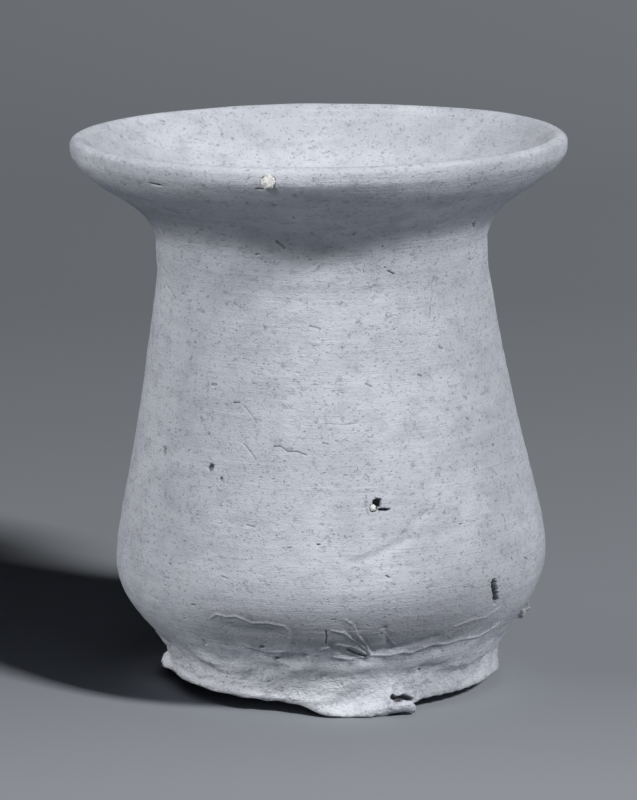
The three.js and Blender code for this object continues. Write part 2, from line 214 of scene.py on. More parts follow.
# Creases and scars with soft sides, pressed or flaked in, each with its half width and depth
CREASES = [
    ([(5.5, 29.7), (9.0, 30.4), (12.3, 31.2), (15.6, 32.0), (18.8, 32.9), (20.0, 34.5), (22.3, 36.0),
      (25.8, 37.2)], 0.55, 0.34),
    ([(-2.3, 35.9), (1.0, 33.8), (0.1, 32.4), (2.7, 30.0)], 0.5, 0.12),
    ([(1.6, 19.0), (3.4, 17.2), (6.6, 14.6), (9.6, 12.4)], 0.42, 0.16),
    ([(5.4, 18.6), (7.0, 16.8), (8.6, 14.4), (11.4, 12.4)], 0.45, 0.14),
    ([(-1.0, 14.2), (3.6, 12.2), (9.0, 10.9)], 0.5, 0.24),
    ([(13.6, 17.6), (15.2, 14.8), (17.2, 12.8)], 0.5, 0.2),
    ([(12.0, 12.8), (22.0, 13.2), (30.0, 14.4)], 0.7, 0.34),
    ([(14.0, 10.4), (24.0, 10.6), (32.0, 11.6)], 0.9, 0.26),
    ([(-30.0, 16.9), (-24.0, 16.4), (-16.0, 16.6)], 0.9, 0.34),
    ([(-24.0, 11.6), (-17.0, 10.6), (-9.0, 11.6)], 0.8, 0.3),
    ([(-69.1, 29.9), (-64.0, 29.2)], 0.5, 0.14),
    ([(1.5, 2.6), (5.0, 2.5)], 1.3, 0.9),
]

# Thin raised wrinkles and the edges of wiped slip, each with its half width and height
FOLDS = [
    ([(-33.8, 18.4), (-31.8, 19.3), (-29.0, 19.0), (-26.2, 19.4), (-21.9, 18.3), (-17.9, 18.6),
      (-13.2, 18.2), (-12.0, 17.1), (-12.0, 14.9)], 0.24, 0.17),
    ([(3.0, 19.5), (5.2, 18.4), (6.2, 16.4), (8.8, 14.4), (10.9, 11.9)], 0.2, 0.14),
    ([(-0.6, 17.5), (2.6, 17.0), (4.8, 15.6), (7.6, 14.0), (10.4, 12.3)], 0.2, 0.15),
    ([(-3.4, 13.4), (1.0, 14.4), (5.0, 13.9), (9.6, 12.2)], 0.19, 0.12),
    ([(0.0, 11.8), (4.6, 11.2), (10.0, 11.5)], 0.22, 0.12),
    ([(10.9, 11.9), (16.5, 11.6), (20.0, 12.0), (23.8, 11.8), (30.0, 12.9), (35.0, 12.6), (39.7, 13.0),
      (48.0, 12.6), (56.0, 14.0)], 0.26, 0.18),
    ([(14.0, 16.4), (16.4, 14.4), (18.8, 13.2)], 0.22, 0.11),
    ([(35.3, 16.2), (41.0, 16.8), (46.7, 16.7), (52.0, 18.0)], 0.23, 0.13),
    ([(-26.0, 12.8), (-20.0, 12.0), (-14.0, 12.6)], 0.22, 0.1),
]

# Broad smears and folds that stand out, each with its half width and height
RIDGES = [
    ([(-35.0, 19.6), (-26.0, 20.4), (-14.0, 19.6)], 1.6, 0.2),
    ([(18.0, 9.4), (30.0, 9.9), (44.0, 9.4), (60.0, 8.6)], 1.5, 0.4),
    ([(-13.0, 8.9), (-4.0, 9.6), (4.0, 9.2), (12.0, 9.6)], 1.3, 0.6),
    ([(18.0, 5.6), (17.5, 2.4)], 0.8, 0.7),
    ([(43.0, 7.4), (50.0, 6.8)], 1.2, 0.5),
    ([(19.5, 1.7), (24.5, 1.5)], 0.9, 1.6),
    ([(-46.0, 9.0), (-38.0, 7.6), (-30.0, 8.3)], 1.2, 0.4),
    ([(-96.0, 2.6), (-88.0, 2.2), (-80.0, 2.6)], 0.8, 0.8),
    ([(130.0, 5.0), (145.0, 4.2), (160.0, 5.4)], 1.4, 0.6),
    ([(-150.0, 6.0), (-135.0, 5.0), (-122.0, 6.2)], 1.4, 0.5),
]

# Small voids of burnt straw all round: how many, how long, wide and deep, the spread of their tilt
# in degrees, and the heights they lie between. The higher the last value, the fewer are long.
STRAW_COUNT = 120
STRAW_SEED = 11
STRAW_LONGEST = 2.1
STRAW_SHORTEST = 0.45
STRAW_WIDE = (0.2, 0.42)
STRAW_DEEP = (0.15, 0.4)
STRAW_TILT = 32.0
STRAW_HEIGHTS = (8, 95)
STRAW_FEW_LONG = 2.2

# Cross sections of the marks: where the side of a groove or a pit starts and ends, as shares of the
# groove's width and of the pit's half width, and how much of a seat or a ridge is even or ragged
GROOVE_SIDE = (0.22, 0.62)
PIT_SIDE = (0.35, 1.05)
SEAT_EVEN = 0.9
SEAT_RAGGED = 0.1
RIDGE_EVEN = 0.75
RIDGE_RAGGED = 0.25
NEAR_TURN = 30  # no groove reaches further round than this many degrees
# Pits and grooves are painted darker the deeper they are cut, as painted shade
FULL_HOLLOW_SHADE = 1.1  # depth of cut that takes the whole colour of a hollow

# Waves of noise in the wall, each with its height, scale per millimetre, stretch and seed
RAGGED_WAVES = ((0.3, 1.7, 1.0, 3.0), (0.25, 4.2, 1.0, 6.0))
BROAD_WAVES = ((0.16, 0.09, 1.0, 5.0),)
TURNING_WAVES = ((0.075, 0.55, 9.0, 9.0), (0.045, 1.3, 14.0, 2.0))
LUMP_WAVES = ((0.42, 0.33, 1.3, 7.0), (0.26, 0.85, 1.0, 1.0))
TORN_WAVES = ((0.5, 0.62, 1.0, 12.0),)
LUMP_FADE = (6.0, 15.0)
TURNING_START = (9.0, 20.0)
TORN_FADE = (2.6, 6.0)

# The underside, with the arcs that the cutting string left
UNDERSIDE_SLOPE = -0.6
UNDERSIDE_RISE = 1.2
STRING_CENTRE = (34, 9)
STRING_PITCH = 2.3
STRING_HEIGHT = 0.2
STRING_ROUGHNESS = 0.12

# Grains: how far the middle of each stands out of the wall, its width, depth and height, how rough
# it is, where its noise starts, and its stone
GRAINS = (
    {"name": "lip_lime", "node": "lip_lime_grain", "slot": "lime", "seat": "lip", "out": -0.42,
     "size": (2.5, 1.7, 2.4), "roughness": 0.4, "seed": 2.0, "stone": "burnt_lime"},
    {"name": "pit_lime", "node": "spall_lime_grain", "slot": "lime", "seat": "spall", "out": -0.4,
     "size": (0.95, 1.0, 1.2), "roughness": 0.4, "seed": 8.0, "stone": "burnt_lime"},
    {"name": "belly_grit", "node": "flank_grit", "slot": "grit", "seat": "grit", "out": 0.25,
     "size": (2.1, 2.2, 4.0), "roughness": 0.4, "seed": 5.0, "stone": "grey_grit"},
)
GRAIN_DIVISIONS = 5
GRAIN_LOBES = 3.2  # scale of the noise that swells a grain
GRAIN_BREAKS = 11.0  # scale of the finer noise that breaks its surface
GRAIN_BREAK_SHARE = 0.3
GRAIN_SEED_STEP = 4
SLOPE_SPAN = 0.6  # how far up and down the wall's slope under a grain is read

# The camera, and the sizes of the photograph's frame that it was fitted with
CAMERA_RISE = 11.4
CAMERA_DISTANCE = 738.0
CAMERA_TARGET = (-2.75, 0.0, 50.8)
CAMERA_LENS = 229.7
CAMERA_SENSOR = 36.0
CAMERA_CLIP = 0.01  # in metres


def curve(steps, *ends):
    """Points of a straight line or of a curve with two handles, with both ends."""
    t = np.linspace(0.0, 1.0, steps + 1)[:, None]
    p = np.array(ends, dtype=float)
    if len(p) == 2:
        return p[0] * (1 - t) + p[1] * t
    return (1 - t) ** 3 * p[0] + 3 * t * (1 - t) ** 2 * p[1] + 3 * t * t * (1 - t) * p[2] + t**3 * p[3]


def mix(a, b, t):
    return a + (b - a) * t


def ease(x, low, high):
    """0 up to low and 1 from high on, with a smooth step between."""
    t = np.clip((x - low) / (high - low), 0.0, 1.0)
    return t * t * (3 - 2 * t)


def turn_between(a, b):
    """Turn from bearing b to bearing a, from -180 to 180 degrees."""
    return (a - b + 180.0) % 360.0 - 180.0


def crest_point():
    """The top of the rim, where the outside meets the inside."""
    return (RIM_R - LIP_THICKNESS * CREST_INSET, HEIGHT)


def outside_outline():
    """From the middle of the underside to the crest of the rim, as stretches of (radius, height)."""
    sole_end = (FOOT_R - FOOT_EDGE, FOOT_GAP)
    edge = (FOOT_R, FOOT_GAP + FOOT_EDGE)
    waist = (WAIST_R, WAIST_HEIGHT)
    belly = (BELLY_R, BELLY_HEIGHT)
    neck_bottom = (NECK_R, NECK_BOTTOM)
    neck_top = (NECK_R, NECK_TOP)
    lip_foot = (RIM_R - LIP_ROUND * LIP_UNDERCUT, HEIGHT - LIP_FACE)
    face_top = (RIM_R, HEIGHT - LIP_ROUND)
    crest = crest_point()
    sole = sole_end[0] - REST_R
    rise = BELLY_HEIGHT - WAIST_HEIGHT
    climb = NECK_BOTTOM - BELLY_HEIGHT
    run = lip_foot[0] - NECK_R
    lift = lip_foot[1] - NECK_TOP
    return [
        curve(STEPS["rest"], (0, 0), (REST_R, 0)),
        curve(STEPS["sole"], (REST_R, 0), (REST_R + sole * SOLE_HANDLES[0], 0),
              (REST_R + sole * SOLE_HANDLES[1], FOOT_GAP), sole_end),
        curve(STEPS["edge"], sole_end, (sole_end[0] + FOOT_EDGE * QUARTER, FOOT_GAP),
              (FOOT_R, edge[1] - FOOT_EDGE * QUARTER), edge),
        curve(STEPS["waist"], edge, waist),
        curve(STEPS["underbelly"], waist, (WAIST_R, WAIST_HEIGHT + rise * UNDERBELLY_HANDLES[0]),
              (BELLY_R, BELLY_HEIGHT - rise * UNDERBELLY_HANDLES[1]), belly),
        curve(STEPS["shoulder"], belly, (BELLY_R, BELLY_HEIGHT + climb * SHOULDER_HANDLES[0]),
              (mix(NECK_R, BELLY_R, SHOULDER_REACH), NECK_BOTTOM - climb * SHOULDER_HANDLES[1]),
              neck_bottom),
        curve(STEPS["neck"], neck_bottom, neck_top),
        curve(STEPS["flare"], neck_top, (NECK_R + run * FLARE_FOOT[0], NECK_TOP + lift * FLARE_FOOT[1]),
              (lip_foot[0] - run * FLARE_TIP[0], lip_foot[1] - lift * FLARE_TIP[1]), lip_foot),
        curve(STEPS["face"], lip_foot, (RIM_R, mix(lip_foot[1], face_top[1], LIP_BULGE[0])),
              (RIM_R, mix(lip_foot[1], face_top[1], LIP_BULGE[1])), face_top),
        curve(STEPS["crest"], face_top, (RIM_R, HEIGHT - LIP_ROUND * (1 - QUARTER)),
              (mix(RIM_R, crest[0], 1 - QUARTER), HEIGHT), crest),
    ]


def inside_outline():
    """From the crest of the rim to the middle of the floor: flare, wall and floor."""
    crest = crest_point()
    lip_inner = (RIM_R - LIP_THICKNESS, HEIGHT - LIP_ROUND * LIP_INNER_DROP)
    throat = (NECK_BORE, NECK_TOP - THROAT_DROP)
    belly = (BELLY_BORE, BELLY_HEIGHT + BORE_RISE)
    corner = (BELLY_BORE - FLOOR_CORNER, FLOOR_THICKNESS)
    run = lip_inner[0] - throat[0]
    drop = lip_inner[1] - throat[1]
    fall = throat[1] - belly[1]
    sweep = belly[1] - corner[1]
    flare = [
        curve(STEPS["lip_roll"], crest, (mix(crest[0], lip_inner[0], LIP_ROLL[0]), HEIGHT),
              (mix(crest[0], lip_inner[0], LIP_ROLL[1]), mix(HEIGHT, lip_inner[1], LIP_ROLL[2])),
              lip_inner),
        curve(STEPS["throat"], lip_inner,
              (lip_inner[0] - run * THROAT_HANDLES[0], lip_inner[1] - drop * THROAT_HANDLES[1]),
              (throat[0], throat[1] + drop * THROAT_HANDLES[2]), throat),
    ]
    wall = [
        curve(STEPS["bore"], throat, (NECK_BORE, throat[1] - fall * BORE_HANDLES[0]),
              (BELLY_BORE, belly[1] + fall * BORE_HANDLES[1]), belly),
        curve(STEPS["corner"], belly, (BELLY_BORE, belly[1] - sweep * CORNER_HANDLES[0]),
              (BELLY_BORE - FLOOR_CORNER * CORNER_HANDLES[1], FLOOR_THICKNESS), corner),
    ]
    floor = [curve(STEPS["floor"], corner, (0, FLOOR_THICKNESS))]
    return flare, wall, floor


def chain(stretches, side, points, sides):
    """Adds stretches that share their end points to one list of points and their sides."""
    for stretch in stretches:
        fresh = stretch[1:] if points else stretch
        points.extend(map(tuple, fresh))
        sides.extend([side] * len(fresh))


OUTER_LINE = np.concatenate(outside_outline())
OUTER_LINE = OUTER_LINE[OUTER_LINE[:, 1] >= WAIST_HEIGHT]


def outer_radius(z):
    """Radius of the round, unleaning outside at a height."""
    return np.interp(z, OUTER_LINE[:, 1], OUTER_LINE[:, 0])


def lean(z):
    """How far the jar's middle has leaned to the right at a height."""
    return AXIS_LEAN * np.maximum(z / HEIGHT, 0.0) ** LEAN_BEND


def tip_at(z):
    """Slope of the wall's own rings at a height, the left side lower."""
    return mix(BELLY_TIP * ease(z, 0, BELLY_HEIGHT), RIM_TIP, ease(z, BELLY_HEIGHT, NECK_BOTTOM))


def settle(points, side):
    """Moves points of the round outline to where the soft jar really went."""
    radius = np.hypot(points[:, 0], points[:, 1])
    z = points[:, 2].copy()
    angle = np.arctan2(points[:, 1], points[:, 0])
    at = np.degrees(np.arctan2(points[:, 0], -points[:, 1]))

    start = FLOOR_THICKNESS + RILL_START
    fade = ease(z, start, start + RILL_FADE) * (1 - ease(z, NECK_BOTTOM, NECK_TOP - RILL_END))
    wave = 0.5 + 0.5 * np.cos(2 * np.pi * z / RILL_PITCH - angle)
    radius += np.where(side == WALL, RILL_DEPTH * wave * fade, 0.0)
    z += np.where(side == FLOOR, NAVEL_HEIGHT * np.exp(-((radius / NAVEL_RADIUS) ** 2)), 0.0)

    low = (side == OUTSIDE) & (z < BELLY_HEIGHT)
    skirt = np.where(low, ease(radius, REST_R, FOOT_R - FOOT_EDGE), 0.0)
    turned = z.copy()
    for tear in FOOT_TEARS:
        shape = np.exp(-((turn_between(at, tear["at"]) / tear["spread"]) ** TEAR_FLATNESS))
        here = skirt * shape * (1 - ease(turned, FOOT_GAP, tear["top"]))
        z -= tear["drop"] * here
        radius += tear["push"] * here
    for dent in DENTS:
        across = turn_between(at, dent["at"]) / dent["wide"]
        up = (turned - dent["z"]) / dent["high"]
        radius -= dent["deep"] * np.exp(-across * across - up * up) * skirt
    z = np.where(low, np.maximum(z, 0.0), z)

    oval = RIM_OVAL * z / HEIGHT * np.cos(2 * angle)
    tip = tip_at(z)
    x = (radius + oval) * np.cos(angle)
    y = (radius + oval) * np.sin(angle)
    return np.stack([x + lean(z), y, z + tip * x], axis=1)


def deselect():
    bpy.ops.object.select_all(action="DESELECT")


def coordinates(mesh):
    """The mesh's vertices, in millimetres."""
    flat = np.empty(len(mesh.vertices) * 3)
    mesh.vertices.foreach_get("co", flat)
    return flat.reshape(-1, 3) / MM


def move_vertices(mesh, places):
    mesh.vertices.foreach_set("co", (places * MM).ravel())
    mesh.update()


def edit_selected(mesh, kind, chosen, work):
    """Selects vertices, edges or polygons by a list of yes and no, then runs work in edit mode."""
    for layer in (mesh.vertices, mesh.edges, mesh.polygons):
        layer.foreach_set("select", np.zeros(len(layer), dtype=bool))
    getattr(mesh, kind).foreach_set("select", chosen)
    modes = ("vertices", "edges", "polygons")
    bpy.context.tool_settings.mesh_select_mode = tuple(kind == mode for mode in modes)
    bpy.ops.object.mode_set(mode="EDIT")
    work()
    bpy.ops.object.mode_set(mode="OBJECT")


def spin_body():
    """The outline as a chain of vertices, spun once round into a closed shell."""
    points, sides = [], []
    chain(outside_outline(), OUTSIDE, points, sides)
    flare, wall, floor = inside_outline()
    chain(flare, FLARE, points, sides)
    chain(wall, WALL, points, sides)
    chain(floor, FLOOR, points, sides)
    outline = np.array(points)

    deselect()
    bpy.ops.mesh.primitive_circle_add(vertices=len(outline), radius=BELLY_R * MM, fill_type="NOTHING")
    body = bpy.context.object
    body.name = "thrown_body"
    body.data.name = "thrown_body"
    mesh = body.data
    move_vertices(mesh, np.stack([outline[:, 0], np.zeros(len(outline)), outline[:, 1]], axis=1))
    pairs = np.empty(len(mesh.edges) * 2, dtype=int)
    mesh.edges.foreach_get("vertices", pairs)
    closing = np.abs(np.diff(pairs.reshape(-1, 2), axis=1)[:, 0]) == len(outline) - 1
    edit_selected(mesh, "edges", closing, lambda: bpy.ops.mesh.delete(type="EDGE"))

    def spin():
        bpy.ops.mesh.select_all(action="SELECT")
        bpy.ops.mesh.spin(steps=AROUND, angle=2 * math.pi, center=(0, 0, 0), axis=(0, 0, 1))
        bpy.ops.mesh.select_all(action="SELECT")
        bpy.ops.mesh.remove_doubles(threshold=MERGE_WITHIN)
        bpy.ops.mesh.normals_make_consistent(inside=False)

    edit_selected(mesh, "vertices", np.ones(len(mesh.vertices), dtype=bool), spin)

    places = coordinates(mesh)
    radius = np.hypot(places[:, 0], places[:, 1])
    station = np.empty(len(places), dtype=int)
    for first in range(0, len(places), STATION_BATCH):
        part = slice(first, first + STATION_BATCH)
        away = np.abs(radius[part, None] - outline[:, 0]) + np.abs(places[part, 2:3] - outline[:, 1])
        station[part] = away.argmin(axis=1)
    move_vertices(mesh, settle(places, np.array(sides)[station]))
    return body


def straw_voids():
    """Short dashes all round the wall, mostly level, as paths like those of GROOVES."""
    random = np.random.default_rng(STRAW_SEED)
    dashes = []
    for _ in range(STRAW_COUNT):
        at = random.uniform(-180, 180)
        z = random.uniform(*STRAW_HEIGHTS)
        length = STRAW_SHORTEST + (STRAW_LONGEST - STRAW_SHORTEST) * random.random() ** STRAW_FEW_LONG
        tilt = math.radians(random.normal(0, STRAW_TILT))
        half_turn = math.degrees(length / 2 * math.cos(tilt) / float(outer_radius(z)))
        rise = length / 2 * math.sin(tilt)
        wide = random.uniform(*STRAW_WIDE)
        deep = random.uniform(*STRAW_DEEP)
        dashes.append(([(at - half_turn, z - rise), (at + half_turn, z + rise)], wide, deep))
    return dashes


def on_wall(places):
    """Bearing, height and radius of points, and whether each lies on the outside."""
    at = np.degrees(np.arctan2(places[:, 0], -places[:, 1]))
    radius = np.hypot(places[:, 0], places[:, 1])
    own = np.hypot(places[:, 0] - lean(places[:, 2]), places[:, 1])
    outer = (own > outer_radius(places[:, 2]) - SKIN) | (places[:, 2] < FLOOR_THICKNESS - UNDER_FLOOR)
    return at, places[:, 2], radius, outer


def path_distance(at, z, radius, path):
    """Distance in millimetres over the surface from points to a path of (bearing, height)."""
    best = np.full(len(at), np.inf)
    for (at_a, z_a), (at_b, z_b) in zip(path[:-1], path[1:]):
        u = np.radians(turn_between(at, at_a)) * radius
        v = z - z_a
        run = np.radians(at_b - at_a) * radius
        rise = z_b - z_a
        along = np.clip((u * run + v * rise) / np.maximum(run * run + rise * rise, 1e-9), 0, 1)
        best = np.minimum(best, np.hypot(u - along * run, v - along * rise))
    return best


def pit_distance(at, z, radius, pit):
    """1 on the edge of a pit's mouth, 0 in its middle, and the distance from that edge."""
    pit_at, pit_z, wide, high, _, roll = pit
    u = np.radians(turn_between(at, pit_at)) * radius
    v = z - pit_z
    turn = math.radians(roll)
    across = (u * math.cos(turn) + v * math.sin(turn)) / (wide / 2)
    up = (v * math.cos(turn) - u * math.sin(turn)) / (high / 2)
    ratio = np.hypot(across, up)
    return ratio, (ratio - 1) * min(wide, high) / 2


def refine(body, dashes, margin):
    """Splits the faces near each pit, groove, fold and seat once in each direction."""
    mesh = body.data
    centres = np.empty(len(mesh.polygons) * 3)
    mesh.polygons.foreach_get("center", centres)
    at, z, radius, outer = on_wall(centres.reshape(-1, 3) / MM)
    near = np.zeros(len(at), dtype=bool)
    lines = [(path, wide) for path, wide, _ in dashes] + [(path, 2 * wide) for path, wide, _ in FOLDS]
    for path, wide in lines:
        bearings = [turn_between(a, path[0][0]) for a, _ in path]
        heights = [h for _, h in path]
        reach = math.degrees((margin + wide) / LEAST_R)
        turned = turn_between(at, path[0][0])
        box = (turned > min(bearings) - reach) & (turned < max(bearings) + reach)
        box &= (z > min(heights) - margin - wide) & (z < max(heights) + margin + wide) & outer
        spots = np.flatnonzero(box)
        away = path_distance(at[spots], z[spots], radius[spots], path)
        near[spots[away < wide / 2 + margin]] = True
    for pit in PITS + [seat_pit(seat) for seat in SEATS.values()]:
        _, away = pit_distance(at, z, radius, pit)
        near |= (away < margin) & outer
    edit_selected(mesh, "polygons", near, lambda: bpy.ops.mesh.subdivide(number_cuts=1))


def seat_pit(seat):
    """The mouth of a grain's seat, in the form of PITS."""
    return (seat["at"], seat["z"], seat["wide"], seat["high"], seat["deep"], 0)


def wave_field(places, scale, stretch=1.0, seed=0.0):
    """Smooth noise from -1 to 1. stretch above 1 draws it out round the jar."""
    flat = scale / stretch
    return np.array([
        noise.noise(Vector((x * flat + seed, y * flat - seed, z * scale + seed)))
        for x, y, z in places
    ])


def waves(places, kinds, start=0.0):
    """Sum of several waves of noise, each with its height, scale, stretch and seed."""
    return sum((high * wave_field(places, *shape) for high, *shape in kinds), start)


def cut_depth(at, z, radius, outer, under, ragged, dashes):
    """How deep the grooves, pits and seats are cut at each point."""
    cut = np.zeros(len(at))
    for path, wide, deep in dashes:
        turned = np.abs(turn_between(at, path[len(path) // 2][0]))
        spots = np.flatnonzero(outer & ~under & (turned < NEAR_TURN))
        away = path_distance(at[spots], z[spots], radius[spots], path) * ragged[spots]
        here = deep * (1 - ease(away, wide * GROOVE_SIDE[0], wide * GROOVE_SIDE[1]))
        cut[spots] = np.maximum(cut[spots], here)
    for pit in PITS:
        ratio, _ = pit_distance(at, z, radius, pit)
        here = pit[PIT_DEPTH] * (1 - ease(ratio * ragged, *PIT_SIDE))
        cut = np.maximum(cut, np.where(outer, here, 0))
    for seat in SEATS.values():
        ratio, _ = pit_distance(at, z, radius, seat_pit(seat))
        side = 1 - (ratio * (SEAT_EVEN + SEAT_RAGGED * ragged)) ** 2
        here = seat["deep"] * np.sqrt(np.clip(side, 0, 1))
        cut = np.maximum(cut, np.where(outer, here, 0))
    return cut


def raised_height(at, z, radius, wall, ragged):
    """How high the smears and wrinkles stand, less the creases, at each point."""
    creased = np.zeros(len(at))
    for path, wide, deep in CREASES:
        away = path_distance(at, z, radius, path)
        creased += np.where(wall, deep * np.exp(-((away / wide) ** 2)) * ragged, 0)
    raised = -creased
    for path, wide, high in RIDGES + FOLDS:
        away = path_distance(at, z, radius, path)
        here = high * np.exp(-((away / wide) ** 2)) * (RIDGE_EVEN + RIDGE_RAGGED * ragged)
        raised += np.where(wall, here, 0)
    return raised


def rough_relief(places, z, outer):
    """The uneven wall: broad waves, turning lines, the lumpy foot and its torn edge."""
    lumpy = np.where(outer, 1 - ease(z, *LUMP_FADE), 0)
    drawn = np.where(outer, ease(z, *TURNING_START), 1.0)
    torn = np.where(outer, 1 - ease(z, *TORN_FADE), 0)
    return (waves(places, BROAD_WAVES) + waves(places, TURNING_WAVES) * drawn
            + waves(places, LUMP_WAVES) * lumpy + waves(places, TORN_WAVES) * torn)


def carve(body, dashes):
    """Cuts the pits, grooves and seats, raises the folds, and roughens the wall and the foot."""
    mesh = body.data
    places = coordinates(mesh)
    normals = np.empty(len(mesh.vertices) * 3)
    mesh.vertex_normals.foreach_get("vector", normals)
    normals = normals.reshape(-1, 3)
    at, z, radius, outer = on_wall(places)
    under = outer & (normals[:, 2] < UNDERSIDE_SLOPE) & (z < FOOT_GAP + UNDERSIDE_RISE)

    ragged = waves(places, RAGGED_WAVES, 1.0)
    cut = cut_depth(at, z, radius, outer, under, ragged, dashes)
    raised = raised_height(at, z, radius, outer & ~under, ragged)
    relief = rough_relief(places, z, outer)

    places = places + normals * ((raised + np.where(under, 0, relief)) - cut)[:, None]
    from_string = np.hypot(places[:, 0] - STRING_CENTRE[0], places[:, 1] - STRING_CENTRE[1])
    arcs = STRING_HEIGHT * (0.5 + 0.5 * np.cos(2 * np.pi * from_string / STRING_PITCH))
    places[:, 2] += np.where(under, arcs + STRING_ROUGHNESS * np.abs(relief), 0)
    places[:, 2] = np.maximum(places[:, 2], 0)
    move_vertices(mesh, places)

    # The depth of each cut, kept for the clay to paint as shade in its pits and grooves
    hollow = mesh.attributes.new("hollow", "FLOAT", "POINT")
    hollow.data.foreach_set("value", np.clip(cut / FULL_HOLLOW_SHADE, 0, 1))


def stand_on_wall(at, z, out):
    """Place and turn of something that sits in the outside at a bearing and a height."""
    turn = math.radians(at)
    level = z - float(tip_at(z)) * float(outer_radius(z)) * math.sin(turn)
    grown = float(outer_radius(level + SLOPE_SPAN) - outer_radius(level - SLOPE_SPAN))
    slope = math.atan2(grown, 2 * SLOPE_SPAN)
    # The wall's own centre has moved with the lean, so its distance along the bearing is solved
    shift = float(lean(level))
    reach = float(outer_radius(level))
    side, front = math.sin(turn), -math.cos(turn)
    distance = side * shift + math.sqrt(max(reach**2 - (shift * front) ** 2, 0)) + out
    place = Vector((distance * side, distance * front, z)) * MM
    return place, Euler((slope, 0, turn), "XYZ")


def make_grain(kind, material):
    """A rough fired grain: a fine ball, stretched, lobed and broken by noise, seated in the wall."""
    deselect()
    bpy.ops.mesh.primitive_ico_sphere_add(subdivisions=GRAIN_DIVISIONS, radius=0.5)
    grain = bpy.context.object
    grain.name = kind["name"]
    grain.data.name = kind["name"]
    mesh = grain.data
    flat = np.empty(len(mesh.vertices) * 3)
    mesh.vertices.foreach_get("co", flat)
    ball = flat.reshape(-1, 3)
    roughness = kind["roughness"]
    coarse = wave_field(ball, GRAIN_LOBES, 1.0, kind["seed"])
    fine = wave_field(ball, GRAIN_BREAKS, 1.0, kind["seed"] + GRAIN_SEED_STEP)
    swell = 1 + roughness * coarse + roughness * GRAIN_BREAK_SHARE * fine
    mesh.vertices.foreach_set("co", (ball * swell[:, None] * np.array(kind["size"]) * MM).ravel())
    mesh.update()
    seat = SEATS[kind["seat"]]
    place, turn = stand_on_wall(seat["at"], seat["z"], kind["out"])
    grain.rotation_euler = turn
    grain.location = place
    bpy.ops.object.transform_apply(location=True, rotation=True, scale=True)
    bpy.ops.object.shade_smooth()
    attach(grain, "root")
    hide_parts(kind["node"])
    paint(grain, material)


# Where a Mix node keeps the sockets of its colours
MIX_COLOUR_A = 6
MIX_COLOUR_B = 7
MIX_COLOUR = 2


def srgb(*levels):
    """A colour given as three levels from 0 to 255, as the linear colour that a socket takes."""
    linear = [(v / 255 / 12.92) if v <= 10 else (((v / 255) + 0.055) / 1.055) ** 2.4 for v in levels]
    return (*linear, 1.0)


def add_node(tree, kind, **settings):
    """A new node of a kind, with its settings made."""
    made = tree.nodes.new(kind)
    for name, value in settings.items():
        setattr(made, name, value)
    return made


def wire(tree, socket, value):
    """Links a socket to another's output, or sets a plain value on it."""
    if isinstance(value, bpy.types.NodeSocket):
        tree.links.new(value, socket)
    else:
        socket.default_value = value


def stretched_noise(tree, vector, scale, detail, roughness=0.55, distortion=0.0):
    """Noise on a vector in millimetres, with its own scale along each axis."""
    mapping = add_node(tree, "ShaderNodeMapping")
    wire(tree, mapping.inputs["Vector"], vector)
    mapping.inputs["Scale"].default_value = scale
    pattern = add_node(tree, "ShaderNodeTexNoise")
    wire(tree, pattern.inputs["Vector"], mapping.outputs["Vector"])
    pattern.inputs["Scale"].default_value = 1.0
    pattern.inputs["Detail"].default_value = detail
    pattern.inputs["Roughness"].default_value = roughness
    pattern.inputs["Distortion"].default_value = distortion
    return pattern.outputs[0]


def ranged(tree, value, low, high, to_low=0.0, to_high=1.0):
    """A value between low and high brought smoothly into another range."""
    made = add_node(tree, "ShaderNodeMapRange", interpolation_type="SMOOTHSTEP")
    wire(tree, made.inputs["Value"], value)
    made.inputs["From Min"].default_value = low
    made.inputs["From Max"].default_value = high
    made.inputs["To Min"].default_value = to_low
    made.inputs["To Max"].default_value = to_high
    return made.outputs["Result"]


def maths(tree, operation, a, b):
    """One operation on two values or sockets."""
    made = add_node(tree, "ShaderNodeMath", operation=operation)
    wire(tree, made.inputs[0], a)
    wire(tree, made.inputs[1], b)
    return made.outputs[0]


def summed(tree, *parts):
    """Sum of values, each with its weight."""
    total = None
    for value, weight in parts:
        here = maths(tree, "MULTIPLY", value, weight)
        total = here if total is None else maths(tree, "ADD", total, here)
    return total


def blended(tree, share, a, b):
    """Colour b over colour a by a share."""
    made = add_node(tree, "ShaderNodeMix", data_type="RGBA", blend_type="MIX")
    wire(tree, made.inputs[0], share)
    wire(tree, made.inputs[MIX_COLOUR_A], a)
    wire(tree, made.inputs[MIX_COLOUR_B], b)
    return made.outputs[MIX_COLOUR]


def millimetres(tree):
    """Object coordinates, in millimetres."""
    source = add_node(tree, "ShaderNodeTexCoord")
    scaled = add_node(tree, "ShaderNodeVectorMath", operation="SCALE")
    wire(tree, scaled.inputs[0], source.outputs["Object"])
    scaled.inputs["Scale"].default_value = 1 / MM
    return scaled.outputs[0]


# Speckle shared by clay and stone: noise as its scale along each axis, detail and roughness, the
# values over which specks show, and what each part adds to the relief
GRAIN_FINE = ((3.4, 3.4, 3.4), 4, 0.62)
GRAIN_COARSE = ((1.15, 1.15, 1.5), 3, 0.6)
GRAIN_DARK = ((1.7, 1.7, 2.3), 3, 0.6)
GRAIN_DARK_SHOWS = (0.62, 0.72)
GRAIN_PALE = ((2.3, 2.3, 2.9), 2, 0.5)
GRAIN_PALE_SHOWS = (0.67, 0.79)
GRAIN_RELIEF = {"fine": 0.55, "coarse": 0.6, "dark": -0.45, "pale": 0.15}


